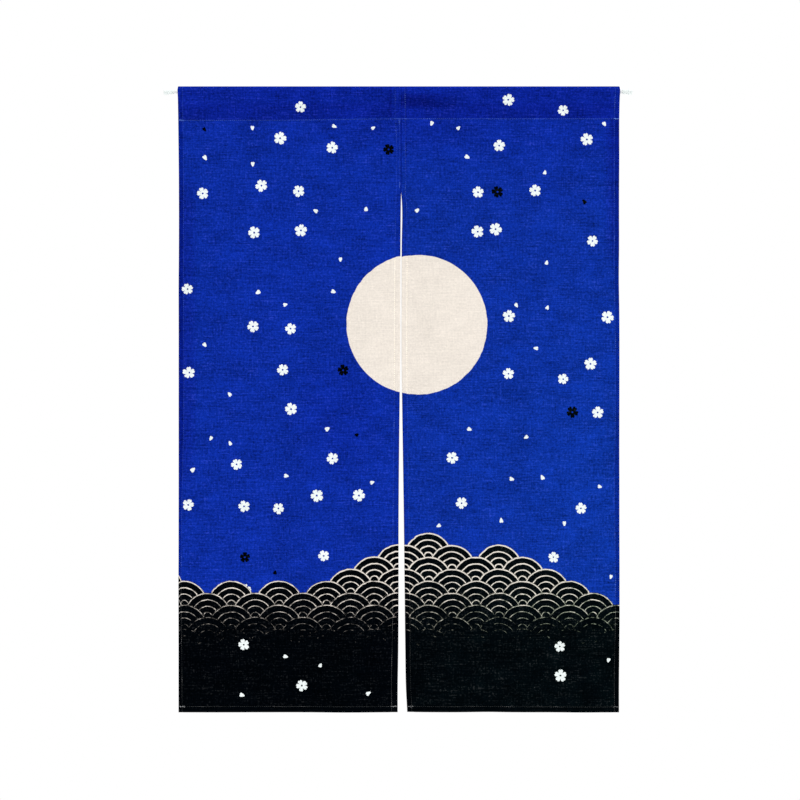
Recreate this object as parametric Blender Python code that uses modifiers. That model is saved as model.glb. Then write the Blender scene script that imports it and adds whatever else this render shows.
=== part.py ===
"""Noren: a split door curtain hanging from its rod.

Two cloth panels are sewn together edge to edge for the first 20 cm and part below into a slit.
Each panel turns over the rod into a casing at the top and has doubled hems on its other edges.

Units are metres, +Z is up and the printed face of the cloth looks along -Y.
The origin is on the rod's axis, midway between the curtain's outer edges.
"""

import math
from collections import namedtuple

import bmesh
import bpy

# Sizes of the cloth as it hangs
CLOTH_WIDTH = 0.850
CLOTH_DROP = 1.205  # from the top of the casing to the bottom hem
SEAM_X = 0.0043  # the seam lies a little right of the middle
THICKNESS = 0.0012  # one layer
HEM_THICKNESS = 0.0022  # where an edge is turned under and doubled
SIDE_HEM = 0.009
SLIT_HEM = 0.010
BOTTOM_HEM = 0.011
HEM_STEP = 0.001  # the width in which the back of the cloth rises onto a hem
GAP = 0.0003  # between pieces, and between the casing's layers
ROD_CLEARANCE = 0.0004  # between the rod and the cloth over it

# The casing: the top of each panel turned over the rod and stitched down behind
CASING_LEFT = 0.064  # its depth at the left edge of the curtain
CASING_SEAM = 0.061  # its depth at the seam and to the right of it
CASING_TURN = 0.008  # the raw end turned under behind
CASING_TAIL = 0.003  # how far the turned end hangs past the stitching

# The rod and the caps on its ends
ROD_RADIUS = 0.0060
ROD_WALL = 0.0006
ROD_SPAN = (-0.4520, 0.4489)  # the outer faces of the two caps
CAP_RADIUS = 0.0086
CAP_FOOT = 0.0077  # length of the wide foot that presses on the wall
CAP_COLLAR_RADIUS = 0.0077
CAP_COLLAR = 0.0077
CAP_LIP_RADIUS = 0.0069
CAP_LIP = 0.0038
CAP_FLOOR = 0.0043  # solid rubber between the rod's end and the wall
CAP_ROUND = 0.0010  # rounding of the foot's edge

# How finely the curved pieces are divided
ACROSS = 18  # columns between a panel's two hems
DOWN = 32  # rows between the casing and the bottom hem
ON_SLOPE = 4  # rows on the casing's face below the rod
OVER_ROD = 12  # rows over the top of the rod
ROUND = 40  # sides of the rod and caps
MERGE = 0.00001  # joins a turned shape where it closes on itself
SHARP = math.radians(30)  # round pieces keep a crisp edge above this angle

TOP_Z = ROD_RADIUS + ROD_CLEARANCE + THICKNESS
BOTTOM_Z = TOP_Z - CLOTH_DROP
FACE_Y = -(THICKNESS + GAP / 2)  # the printed face where the cloth hangs under the rod's axis

# How far each edge is drawn in from its straight line, at each depth below the top.
# The slit edges meet in the seam down to 0.203 and part below it.
Edge = namedtuple("Edge", "drop left_side left_slit right_slit right_side")
EDGES = (
    Edge(0.000, 0.0006, 0.0000, 0.0000, 0.0014),
    Edge(0.008, 0.0000, 0.0000, 0.0000, 0.0000),
    Edge(0.022, 0.0004, 0.0000, 0.0000, 0.0012),
    Edge(0.060, 0.0009, 0.0000, 0.0000, 0.0014),
    Edge(0.203, 0.0022, 0.0000, 0.0000, 0.0021),
    Edge(0.310, 0.0022, 0.0022, 0.0023, 0.0022),
    Edge(0.510, 0.0018, 0.0028, 0.0020, 0.0013),
    Edge(0.590, 0.0018, 0.0037, 0.0029, 0.0013),
    Edge(0.855, 0.0017, 0.0054, 0.0058, 0.0012),
    Edge(0.970, 0.0014, 0.0056, 0.0075, 0.0009),
    Edge(1.085, 0.0014, 0.0060, 0.0087, 0.0012),
    Edge(1.160, 0.0014, 0.0073, 0.0098, 0.0019),
    Edge(1.205, 0.0014, 0.0073, 0.0134, 0.0013),
)

# Soft ridges (height above zero, towards -Y) and troughs (below zero) that the whole curtain has.
# Lean is the angle of the ridge's line from the horizontal, length and width its half sizes.
Fold = namedtuple("Fold", "x z lean length width height")
FOLDS = (
    Fold(-0.335, -0.400, 88, 0.260, 0.055, 0.0050),
    Fold(-0.240, -0.760, 80, 0.240, 0.060, -0.0050),
    Fold(-0.120, -0.640, 62, 0.190, 0.060, 0.0045),
    Fold(-0.340, -1.020, 74, 0.170, 0.060, 0.0055),
    Fold(-0.110, -1.060, 96, 0.190, 0.055, 0.0060),
    Fold(0.100, -0.430, 84, 0.200, 0.055, 0.0040),
    Fold(0.140, -0.900, 96, 0.230, 0.060, 0.0065),
    Fold(0.300, -0.680, 78, 0.260, 0.065, 0.0060),
    Fold(0.230, -1.090, 4, 0.170, 0.045, -0.0040),
    Fold(0.360, -1.080, 82, 0.160, 0.050, 0.0060),
)

FOLDS_START = 0.20  # the length below the casing in which they grow to their full height

# Folds in the casing, which only dent the cloth between the rod and the stitching
CASING_FOLDS = (
    Fold(0.082, -0.021, -8, 0.060, 0.008, -0.0022),
    Fold(-0.060, -0.034, 6, 0.070, 0.010, -0.0010),
    Fold(-0.300, -0.032, -5, 0.080, 0.010, -0.0009),
    Fold(0.290, -0.034, 7, 0.070, 0.010, -0.0010),
)

# How far the free edges curl back, and over what width
Curl = namedtuple("Curl", "side z reach width depth")
CURLS = (
    Curl("left_side", -0.380, 0.300, 0.016, 0.0045),
    Curl("right_side", -0.210, 0.160, 0.014, 0.0040),
    Curl("left_slit", -0.950, 0.300, 0.020, 0.0040),
    Curl("right_slit", -1.150, 0.180, 0.028, 0.0075),
    Curl("right_side", -0.950, 0.260, 0.020, -0.0040),
)

# One panel: its two edges by name, the straight line of each, and their hem widths
Panel = namedtuple("Panel", "name low_edge high_edge low_x high_x low_hem high_hem")
PANELS = (
    Panel("panel_left", "left_side", "left_slit",
          -CLOTH_WIDTH / 2, SEAM_X - GAP / 2, SIDE_HEM, SLIT_HEM),
    Panel("panel_right", "right_slit", "right_side",
          SEAM_X + GAP / 2, CLOTH_WIDTH / 2, SLIT_HEM, SIDE_HEM),
)

Look = namedtuple("Look", "name colour roughness metallic")
CLOTH_LOOK = Look("printed_cotton_linen", (0.005, 0.025, 0.32), 0.90, 0.0)
ROD_LOOK = Look("white_coated_steel", (0.82, 0.85, 0.84), 0.30, 0.0)
CAP_LOOK = Look("white_rubber", (0.80, 0.88, 0.84), 0.55, 0.0)


def clear_scene():
    for found in list(bpy.data.objects):
        bpy.data.objects.remove(found, do_unlink=True)


def material(look):
    made = bpy.data.materials.new(look.name)
    made.use_nodes = True
    shader = made.node_tree.nodes["Principled BSDF"]
    shader.inputs["Base Color"].default_value = (*look.colour, 1.0)
    shader.inputs["Roughness"].default_value = look.roughness
    shader.inputs["Metallic"].default_value = look.metallic
    return made


def add_object(collection, name, mesh, surface):
    made = bpy.data.objects.new(name, mesh)
    mesh.materials.append(surface)
    collection.objects.link(made)
    return made


def smoothstep(low, high, value):
    share = min(1.0, max(0.0, (value - low) / (high - low)))
    return share * share * (3 - 2 * share)


def drawn_in(edge, z):
    """How far the named edge lies inside its straight line at height z, on a smooth curve."""
    drop = min(max(TOP_Z - z, 0.0), CLOTH_DROP)
    upper = max(i for i in range(len(EDGES) - 1) if EDGES[i].drop <= drop)
    first, last = EDGES[upper], EDGES[upper + 1]
    before, after = EDGES[max(upper - 1, 0)], EDGES[min(upper + 2, len(EDGES) - 1)]
    step = last.drop - first.drop
    share = (drop - first.drop) / step
    start, end = getattr(first, edge), getattr(last, edge)
    slope_in = (end - getattr(before, edge)) / (last.drop - before.drop) * step
    slope_out = (getattr(after, edge) - start) / (after.drop - first.drop) * step
    cubic = 2 * share**3 - 3 * share**2 + 1
    inset = (
        cubic * start
        + (1 - cubic) * end
        + (share**3 - 2 * share**2 + share) * slope_in
        + (share**3 - share**2) * slope_out
    )
    return max(0.0, inset)


def ridge(fold, x, z):
    """Height of one soft fold at a point of the cloth."""
    lean = math.radians(fold.lean)
    along = (x - fold.x) * math.cos(lean) + (z - fold.z) * math.sin(lean)
    across = (z - fold.z) * math.cos(lean) - (x - fold.x) * math.sin(lean)
    return fold.height * math.exp(-((along / fold.length) ** 2) - (across / fold.width) ** 2)


def curl(panel, x, z):
    """How far the panel's edges bend back, away from the face, at this point."""
    total = 0.0
    for bend in CURLS:
        if bend.side == panel.low_edge:
            inside = x - panel.low_x
        elif bend.side == panel.high_edge:
            inside = panel.high_x - x
        else:
            continue
        height = math.exp(-(((z - bend.z) / bend.reach) ** 2))
        total += bend.depth * height * math.exp(-max(inside, 0.0) / bend.width)
    return total


def sway(panel, x, z):
    """Offset along Y of the hanging cloth from its flat plane. It is nil at the casing's stitching."""
    free = smoothstep(-CASING_SEAM, -CASING_SEAM - FOLDS_START, z)
    lift = sum(ridge(fold, x, z) for fold in FOLDS)
    return free * (curl(panel, x, z) - lift)


def casing_depth(x):
    """Depth of the casing's stitching below the top: it slopes up from the left edge to the seam."""
    share = smoothstep(-CLOTH_WIDTH / 2, SEAM_X, x)
    return CASING_LEFT + (CASING_SEAM - CASING_LEFT) * share


def tangent_angle(y, z, radius, side):
    """Where a straight layer from (y, z) meets a circle about the rod, as an angle. Side is -1 in front."""
    return math.atan2(z, y) + side * math.acos(radius / math.hypot(y, z))


def casing_section(x, layer):
    """Points (y, z, doubled) of the outer face from the front stitching over the rod to the turned end.

    Layer is the cloth's thickness here, so a hem stands proud of the rest and clears the rod too.
    """
    radius = ROD_RADIUS + ROD_CLEARANCE + layer
    stitch_z = TOP_Z - casing_depth(x)
    back_y = FACE_Y + layer + GAP + HEM_THICKNESS
    front = tangent_angle(FACE_Y, stitch_z, radius, -1) + 2 * math.pi
    back = tangent_angle(back_y, stitch_z, radius, 1)
    section = []
    for step in range(ON_SLOPE):
        share = step / ON_SLOPE
        y = FACE_Y + (radius * math.cos(front) - FACE_Y) * share
        z = stitch_z + (radius * math.sin(front) - stitch_z) * share
        dent = sum(ridge(fold, x, z) for fold in CASING_FOLDS) * math.sin(math.pi * share)
        section.append((y - dent, z, False))
    for step in range(OVER_ROD + 1):
        angle = front + (back - front) * step / OVER_ROD
        section.append((radius * math.cos(angle), radius * math.sin(angle), False))
    turn_z = stitch_z - CASING_TAIL + CASING_TURN
    for height, doubled in ((turn_z + HEM_STEP, False), (turn_z, True)):
        share = (height - stitch_z) / (radius * math.sin(back) - stitch_z)
        section.append((back_y + (radius * math.cos(back) - back_y) * share, height, doubled))
    section.append((back_y, stitch_z - CASING_TAIL, True))
    return section


def columns(panel):
    """Shares of the panel's width, each with whether it lies on a hem."""
    width = panel.high_x - panel.low_x
    low, high = panel.low_hem / width, 1 - panel.high_hem / width
    step = HEM_STEP / width
    inner = [low + step + (high - low - 2 * step) * i / ACROSS for i in range(ACROSS + 1)]
    return [(0.0, True), (low, True), *((share, False) for share in inner), (high, True), (1.0, True)]


def hanging_rows():
    """Shares of the way from the bottom edge to the stitching, each with whether it lies on the hem."""
    hem = BOTTOM_HEM / (CLOTH_DROP - CASING_SEAM)
    step = HEM_STEP / (CLOTH_DROP - CASING_SEAM)
    inner = [hem + step + (1 - hem - step) * i / DOWN for i in range(DOWN)]
    return [(0.0, True), (hem, True), *((share, False) for share in inner)]


def panel_point(panel, share, z, y):
    """A point of the outer face, a share of the way across the panel at height z."""
    low = panel.low_x + drawn_in(panel.low_edge, z)
    high = panel.high_x - drawn_in(panel.high_edge, z)
    x = low + (high - low) * share
    return x, y, z


def panel_column(panel, share, on_hem):
    """The outer face's points up one column of a panel, each with whether the cloth is doubled there."""
    layer = HEM_THICKNESS if on_hem else THICKNESS
    straight_x = panel.low_x + (panel.high_x - panel.low_x) * share
    stitch_z = TOP_Z - casing_depth(straight_x)
    points = []
    for height, doubled in hanging_rows():
        z = BOTTOM_Z + (stitch_z - BOTTOM_Z) * height
        y = FACE_Y + sway(panel, straight_x, z)
        points.append((panel_point(panel, share, z, y), doubled or on_hem))
    for y, z, doubled in casing_section(straight_x, layer):
        points.append((panel_point(panel, share, z, y), doubled or on_hem))
    return points


def add_panel(collection, panel, surface):
    """One panel as a grid bent along its columns, made solid behind its printed face."""
    lines = [panel_column(panel, share, on_hem) for share, on_hem in columns(panel)]
    across, up = len(lines) - 1, len(lines[0]) - 1
    shape = bmesh.new()
    bmesh.ops.create_grid(shape, x_segments=across, y_segments=up, size=0.5)
    weights = shape.verts.layers.deform.new()
    for vertex in shape.verts:
        line = lines[round((vertex.co.x + 0.5) * across)]
        place, doubled = line[round((vertex.co.y + 0.5) * up)]
        vertex.co = place
        vertex[weights][0] = 1.0 if doubled else 0.0
    mesh = bpy.data.meshes.new(panel.name)
    shape.to_mesh(mesh)
    shape.free()
    made = add_object(collection, panel.name, mesh, surface)
    made.vertex_groups.new(name="doubled")
    layers = made.modifiers.new("Layers", "SOLIDIFY")
    layers.thickness = HEM_THICKNESS
    layers.thickness_vertex_group = THICKNESS / HEM_THICKNESS
    layers.vertex_group = "doubled"
    layers.offset = -1.0
    layers.use_even_offset = True
    mesh.shade_smooth()
    return made


def add_turned(collection, name, profile, surface):
    """A profile of (distance along X, radius) turned about the X axis, closed where it is off the axis."""
    outline = bpy.data.meshes.new(name + "_outline")
    points = [(along, 0.0, radius) for along, radius in profile]
    edges = [(i, i + 1) for i in range(len(points) - 1)]
    if profile[-1][1] > 0:
        edges.append((len(points) - 1, 0))
    outline.from_pydata(points, edges, [])
    made = add_object(collection, name, outline, surface)
    turn = made.modifiers.new("Turn", "SCREW")
    turn.axis = "X"
    turn.steps = turn.render_steps = ROUND
    turn.use_merge_vertices = True
    turn.merge_threshold = MERGE
    turn.use_normal_flip = True
    shape = made.evaluated_get(bpy.context.evaluated_depsgraph_get())
    made.data = bpy.data.meshes.new_from_object(shape)
    made.modifiers.clear()
    made.data.shade_smooth()
    made.data.set_sharp_from_angle(angle=SHARP)
    return made


def add_rod(collection, surface):
    """A plain tube that reaches from the floor of one cap to the floor of the other."""
    low = ROD_SPAN[0] + CAP_FLOOR + GAP
    high = ROD_SPAN[1] - CAP_FLOOR - GAP
    inner = ROD_RADIUS - ROD_WALL
    profile = [(low, ROD_RADIUS), (high, ROD_RADIUS), (high, inner), (low, inner)]
    return add_turned(collection, "rod", profile, surface)


def cap_profile():
    """The cap's outline from the wall's side inwards: rounded foot, collar, lip and the rod's socket."""
    collar_at = CAP_FOOT + CAP_COLLAR
    end = collar_at + CAP_LIP
    socket = ROD_RADIUS + GAP
    corners = [
        (CAP_ROUND * (1 - math.cos(turn)), CAP_RADIUS - CAP_ROUND * (1 - math.sin(turn)))
        for turn in (math.radians(30 * i) for i in range(4))
    ]
    return [
        (0.0, 0.0),
        *corners,
        (CAP_FOOT, CAP_RADIUS),
        (CAP_FOOT, CAP_COLLAR_RADIUS),
        (collar_at, CAP_COLLAR_RADIUS),
        (collar_at, CAP_LIP_RADIUS),
        (end, CAP_LIP_RADIUS),
        (end, socket),
        (CAP_FLOOR, socket),
        (CAP_FLOOR, 0.0),
    ]


def add_cap(collection, name, face_x, inwards, surface):
    """A rubber cap with its foot's face at face_x. Inwards is +1 on the left end and -1 on the right."""
    made = add_turned(collection, name, cap_profile(), surface)
    made.location.x = face_x
    if inwards < 0:
        made.rotation_euler.z = math.pi
    return made


def main():
    clear_scene()
    curtain = bpy.data.collections.new("noren_curtain_and_rod")
    bpy.context.scene.collection.children.link(curtain)
    cloth = material(CLOTH_LOOK)
    for panel in PANELS:
        add_panel(curtain, panel, cloth)
    add_rod(curtain, material(ROD_LOOK))
    rubber = material(CAP_LOOK)
    add_cap(curtain, "cap_left", ROD_SPAN[0], 1, rubber)
    add_cap(curtain, "cap_right", ROD_SPAN[1], -1, rubber)


main()
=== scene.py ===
"""Looks of a split door curtain on its rod: cloth, print, sewing, rod, caps, light and camera.

Units are metres, +Z is up, and the printed face of the cloth looks along -Y.
"""

import math
from collections import namedtuple
from functools import partialmethod

import bmesh
import bpy
import numpy as np
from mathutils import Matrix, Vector, noise


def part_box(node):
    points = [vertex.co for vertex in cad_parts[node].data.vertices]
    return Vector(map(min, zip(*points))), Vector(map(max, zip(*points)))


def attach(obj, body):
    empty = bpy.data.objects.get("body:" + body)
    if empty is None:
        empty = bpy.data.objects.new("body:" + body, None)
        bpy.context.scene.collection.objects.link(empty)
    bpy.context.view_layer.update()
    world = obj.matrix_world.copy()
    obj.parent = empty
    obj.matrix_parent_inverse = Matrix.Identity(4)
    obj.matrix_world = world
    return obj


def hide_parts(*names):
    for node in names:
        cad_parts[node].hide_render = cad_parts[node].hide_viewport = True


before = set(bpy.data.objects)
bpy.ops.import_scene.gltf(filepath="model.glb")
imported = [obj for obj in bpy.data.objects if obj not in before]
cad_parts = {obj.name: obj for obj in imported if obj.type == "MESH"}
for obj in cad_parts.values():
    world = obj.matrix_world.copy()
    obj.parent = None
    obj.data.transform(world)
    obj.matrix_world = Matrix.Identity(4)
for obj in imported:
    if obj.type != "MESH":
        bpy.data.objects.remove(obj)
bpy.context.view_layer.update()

# ---- places, from the frame

LEFT_LOW, LEFT_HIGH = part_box("panel_left")
RIGHT_LOW, RIGHT_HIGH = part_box("panel_right")
ROD_LOW, ROD_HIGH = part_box("rod")
CAP_LEFT_LOW, CAP_LEFT_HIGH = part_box("cap_left")
CAP_RIGHT_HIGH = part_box("cap_right")[1]

ROD_RADIUS = (ROD_HIGH.z - ROD_LOW.z) / 2
BOTTOM_Z = LEFT_LOW.z
LOW_X = LEFT_LOW.x - 0.0004
HIGH_X = RIGHT_HIGH.x + 0.0004
SEAM_X = (LEFT_HIGH.x + RIGHT_LOW.x) / 2

# ---- the cloth's sizes

CLOTH = 0.00055  # one layer
LAYER_GAP = 0.0001  # air between the layers of a hem
HEM = 2 * CLOTH + LAYER_GAP  # thickness of a side hem
SEAM_PRESS = 0.0002  # how far the panels press into each other where they are sewn together
CLOTH_DROP = 1.205
TOP_Z = BOTTOM_Z + CLOTH_DROP
FACE_Y = -0.00135  # the hanging face, a little in front of the rod's axis
ROD_CLEARANCE = 0.0001
CASING_LEFT = 0.0657
CASING_SEAM = 0.0629
SLOPE_START = 0.17  # its stitching starts to rise this far from the left edge,
SLOPE_END = 0.01  # and ends this far past the seam
CASING_TURN = 0.010  # the raw end folded up inside the casing's back
CASING_TAIL = 0.003  # how far that fold hangs past the stitching
BOTTOM_RISE = 0.0009  # how far the right panel's bottom edge rises about RISE_X
RISE_X = 0.166
RISE_WIDTH = 0.045
PAST_STITCH = 0.0015  # how far each hem reaches past its stitching

# The tables of edges, folds and curls are in millimetres. In the first two, each row is a drop
# below the top, and a distance at each of the four edges.
MM = 1000  # in a metre
LEFT_SIDE, LEFT_SLIT, RIGHT_SLIT, RIGHT_SIDE = range(1, 5)

# How far each edge is drawn in from its straight line
EDGES = (
    (0, 0.7, 0, 0, 1.2),
    (8, 0.1, 0, 0, 0.1),
    (22, 0.4, 0, 0, 0.6),
    (60, 0.7, 0, 0, 1.1),
    (150, 1.6, 0, 0, 1.0),
    (203, 1.8, 0, 0, 1.2),
    (217, 1.8, 0.3, 1.2, 1.2),
    (310, 1.6, 1.2, 1.2, 1.2),
    (370, 1.1, 1.4, 1.0, 1.9),
    (430, 1.1, 1.5, 0.9, 1.0),
    (510, 1.2, 1.6, 0.9, 0.8),
    (590, 1.3, 2.6, 1.8, 0.9),
    (855, 1.4, 4.9, 5.6, 1.2),
    (970, 1.3, 5.0, 6.9, 1.1),
    (1085, 1.5, 5.5, 8.2, 1.3),
    (1160, 1.5, 6.6, 9.5, 2.0),
    (1205, 1.5, 6.7, 11.9, 1.9),
)
SEAM_END = 0.203  # the drop at which the slit opens
PARTED_LENGTH = 0.25  # the length below it in which the panels come to hang each in its own way

# How far in from each edge its hem is sewn
SEWN = (
    (0, 9.3, 11.6, 7.6, 9.2),
    (60, 9.1, 11.2, 8.0, 9.2),
    (90, 9.1, 9.4, 8.1, 9.2),
    (203, 9.1, 9.4, 8.3, 9.3),
    (310, 9.0, 10.5, 10.3, 9.0),
    (430, 9.6, 11.1, 10.4, 8.4),
    (670, 9.4, 10.4, 9.6, 7.9),
    (755, 7.0, 10.6, 9.5, 9.3),
    (850, 5.6, 10.8, 9.5, 8.6),
    (1030, 5.3, 11.2, 9.6, 7.9),
    (1110, 6.4, 12.2, 9.1, 9.1),
    (1205, 6.8, 11.5, 9.2, 8.8),
)

# Soft ridges (height above zero, towards -Y) and troughs. Lean is the angle of the ridge's line
# from the horizontal, in degrees, and length and width are its half sizes.
Fold = namedtuple("Fold", "x z lean length width height")
FOLDS = (
    Fold(-335, -400, 88, 260, 55, 5),
    Fold(-240, -760, 80, 240, 60, -5),
    Fold(-120, -640, 62, 190, 60, 4.5),
    Fold(-340, -1020, 74, 170, 60, 5.5),
    Fold(-110, -1060, 96, 190, 55, 6),
    Fold(100, -430, 84, 200, 55, 4),
    Fold(140, -900, 96, 230, 60, 6.5),
    Fold(300, -680, 78, 260, 65, 6),
    Fold(230, -1090, 4, 170, 45, -4),
    Fold(360, -1080, 82, 160, 50, 6),
)
FOLDS_START = 0.20  # the length below the casing in which they grow to their full height

# Height and size of the lumps in the cloth
BROAD = (0.0011, 0.085)
BROAD_PARTED = (0.0008, 0.110)  # where the panels are parted, each has its own
SMALL = (0.00035, 0.028)
CASING_WAVES = (0.0007, 0.016)
CASING_RIPPLES = (0.0003, 0.008)
PUCKERS = (0.00045, 0.007)
PUCKER_REACH = 0.0065
GROOVE_DEPTH = 0.00022  # along the stitching
GROOVE_REACH = 0.0011
SEED_STEP = 7.31  # from one layer of noise to the next

# Dents in the casing between the rod and its stitching
CASING_FOLDS = (
    Fold(30, -28, -4, 75, 9.5, -3.8),
    Fold(85, -19, -9, 50, 6, -0.8),
    Fold(-60, -34, 6, 70, 10, -1),
    Fold(-300, -32, -5, 80, 10, -0.9),
    Fold(290, -34, 7, 70, 10, -1),
)

# How far the free edges curl back, and over what width
Curl = namedtuple("Curl", "edge z reach width depth")
CURLS = (
    Curl(LEFT_SIDE, -380, 300, 16, 4.5),
    Curl(RIGHT_SIDE, -210, 160, 14, 4),
    Curl(LEFT_SLIT, -950, 300, 20, 4),
    Curl(RIGHT_SLIT, -1150, 180, 28, 7.5),
    Curl(RIGHT_SIDE, -950, 260, 20, -4),
)

# One side of a panel: its edge, where it is, the way inwards along X, and the mean distance at
# which its hem is sewn
Side = namedtuple("Side", "edge x inwards stitch")

# One panel: the CAD node it stands for, its two sides, the distance at which its bottom hem is
# sewn, and how plainly each end of the bottom's and casing's stitching is sewn over
Panel = namedtuple("Panel", "node low high bottom_stitch bottom_ends casing_ends seed")
PANELS = (
    Panel(
        "panel_left",
        Side(LEFT_SIDE, LOW_X, 1, 0.0080),
        Side(LEFT_SLIT, SEAM_X + SEAM_PRESS / 2, -1, 0.0106),
        bottom_stitch=0.0112, bottom_ends=(0.9, 0.6), casing_ends=(0.3, 0.2), seed=3,
    ),
    Panel(
        "panel_right",
        Side(RIGHT_SLIT, SEAM_X - SEAM_PRESS / 2, 1, 0.0090),
        Side(RIGHT_SIDE, HIGH_X, -1, 0.0086),
        bottom_stitch=0.0107, bottom_ends=(0.5, 0.3), casing_ends=(0.2, 1.0), seed=8,
    ),
)

# How fine the cloth's mesh is
COLUMN = 0.0053
ROW = 0.0033
FOLD_STEPS = 5
SLOPE_STEPS = 16
ROD_STEPS = 14
NEAR_STITCH = 0.0006  # from a line of stitching to the mesh lines beside it

# ---- small helpers


def smoothstep(low, high, value):
    share = np.clip((value - low) / (high - low), 0.0, 1.0)
    return share * share * (3 - 2 * share)


def srgb(red, green, blue):
    """A colour given as 0 to 255 on the screen, as the linear values that shaders use."""
    shares = [value / 255 for value in (red, green, blue)]
    linear = [s / 12.92 if s <= 0.04045 else ((s + 0.055) / 1.055) ** 2.4 for s in shares]
    return (*linear, 1.0)


WHITE = (1.0, 1.0, 1.0, 1.0)


def unit(vectors):
    return vectors / np.linalg.norm(vectors, axis=-1, keepdims=True)


def distances(points):
    """How far along a line each of its points lies."""
    return np.concatenate([[0.0], np.cumsum(np.linalg.norm(np.diff(points, axis=0), axis=1))])


def add_mesh(name, mesh, *materials):
    made = bpy.data.objects.new(name, mesh)
    bpy.context.scene.collection.objects.link(made)
    for material in materials:
        mesh.materials.append(material)
    return made


def finished(shape, name):
    """A bmesh as a mesh."""
    mesh = bpy.data.meshes.new(name)
    shape.to_mesh(mesh)
    shape.free()
    return mesh


# ---- how the cloth hangs


def by_depth(table, edge, z):
    """A table's value for an edge at the heights z, joined by smooth curves, in metres."""
    drop = np.clip(TOP_Z - z, 0.0, CLOTH_DROP)
    drops, values = np.array(table).T[[0, edge]] / MM
    slopes = np.gradient(values, drops)
    upper = np.clip(np.searchsorted(drops, drop, side="right") - 1, 0, len(drops) - 2)
    step = drops[upper + 1] - drops[upper]
    share = (drop - drops[upper]) / step
    cubic = 2 * share**3 - 3 * share**2 + 1
    value = cubic * values[upper] + (1 - cubic) * values[upper + 1]
    value += (share**3 - 2 * share**2 + share) * slopes[upper] * step
    value += (share**3 - share**2) * slopes[upper + 1] * step
    return np.maximum(value, 0.0)


def in_hem(side, z, share=1.0):
    """Where a side's edge lies at the heights z, moved inwards by a share of the way to its stitching."""
    return side.x + side.inwards * (by_depth(EDGES, side.edge, z) + share * by_depth(SEWN, side.edge, z))


def ridge(fold, x, z):
    lean = math.radians(fold.lean)
    x, z = x * MM - fold.x, z * MM - fold.z
    along = (x * math.cos(lean) + z * math.sin(lean)) / fold.length
    across = (z * math.cos(lean) - x * math.sin(lean)) / fold.width
    return fold.height / MM * np.exp(-(along**2) - across**2)


def curl(panel, x, z):
    sides = (panel.low, panel.high)
    inside = {side.edge: np.maximum((x - side.x) * side.inwards, 0.0) * MM for side in sides}
    return sum(
        bend.depth / MM * np.exp(-(((z * MM - bend.z) / bend.reach) ** 2) - inside[bend.edge] / bend.width)
        for bend in CURLS
        if bend.edge in inside
    )


def uneven(x, z, lumps, seed):
    """Smooth noise whose lumps have about this height and size."""
    height, size = lumps
    flat_x, flat_z = x.ravel() / size, z.ravel() / size
    values = [noise.noise(Vector((a, b, seed * SEED_STEP))) for a, b in zip(flat_x, flat_z)]
    return height * np.array(values).reshape(x.shape)


def casing_depth(x):
    share = smoothstep(LOW_X + SLOPE_START, SEAM_X + SLOPE_END, x)
    return CASING_LEFT + (CASING_SEAM - CASING_LEFT) * share


def tangent_angle(y, z, radius, side):
    """The angle at which a straight layer from (y, z) meets a circle about the rod. Side is -1 in front."""
    return np.arctan2(z, y) + side * np.arccos(radius / np.hypot(y, z))


# ---- one panel's grid


def hem_profile(stitch):
    """(offset, depth, stack, flat) from a side hem's raw end, round its fold, to the plain cloth."""
    width = stitch + PAST_STITCH
    bend = HEM / 2
    turned = math.pi * bend
    beside, past = stitch - NEAR_STITCH, stitch + NEAR_STITCH
    behind = [width, past, stitch, beside, stitch * 0.55, stitch * 0.3]
    profile = [(offset, HEM, HEM, -turned - offset + bend) for offset in behind]
    fold = arc(bend, bend, bend, math.pi / 2, 1.5 * math.pi, FOLD_STEPS)
    for step, (offset, depth, *_) in enumerate(fold):
        profile.append((offset, depth, HEM, bend - turned * (1 - step / FOLD_STEPS)))
    front = [stitch * 0.3, stitch * 0.55, beside - 0.001, beside, stitch, past, width]
    profile += [(offset, 0.0, HEM, offset) for offset in front]
    for more, left in ((0.0012, 0.7), (0.0026, 0.25), (0.0045, 0.0)):
        profile.append((width + more, 0.0, CLOTH + (HEM - CLOTH) * left, width + more))
    return profile


def grid_columns(panel):
    """The grid's columns: their weight, low offset, high offset, depth, stack and flat place.

    Weight goes from 0 at the low edge to 1 at the high one. Offset is the distance inwards from
    that edge, depth how far the outer face lies behind the panel's front, stack how thick the hem
    is there, and flat the place on the cloth before it was sewn, measured from the same edge.
    """
    low, high = (hem_profile(side.stitch) for side in (panel.low, panel.high))
    low_end, high_end = low[-1][0], high[-1][0]
    count = round((panel.high.x - panel.low.x - low_end - high_end) / COLUMN)
    columns = [(0.0, offset, 0.0, *rest) for offset, *rest in low]
    columns += [(step / count, low_end, high_end, 0.0, CLOTH, 0.0) for step in range(1, count)]
    columns += [(1.0, 0.0, offset, *rest) for offset, *rest in reversed(high)]
    return np.array(columns).T


def stitched_column(side, behind):
    """Index of the column that carries a hem's stitching, in front or behind."""
    on_stitch = [(offset == side.stitch, depth > 0) for offset, depth, _, _ in hem_profile(side.stitch)]
    found = on_stitch.index((True, behind))
    return found if side.inwards > 0 else -1 - found


def columns_behind(side):
    """How many columns of a hem lie behind the panel's front."""
    return sum(depth > 0 for _, depth, _, _ in hem_profile(side.stitch))


def arc(centre_y, centre_z, radius, start, end, steps):
    """Points (y, z, normal y, normal z) along an arc, for every column at once."""
    rows = []
    for step in range(steps + 1):
        angle = start + (end - start) * step / steps
        normal = np.cos(angle), np.sin(angle)
        rows.append((centre_y + radius * normal[0], centre_z + radius * normal[1], *normal))
    return rows


def straight(start, end, normal, shares):
    """Points along a straight run between two (y, z) points, with one normal."""
    (y, z), (end_y, end_z) = start, end
    return [(y + (end_y - y) * share, z + (end_z - z) * share, *normal) for share in shares]


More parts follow.
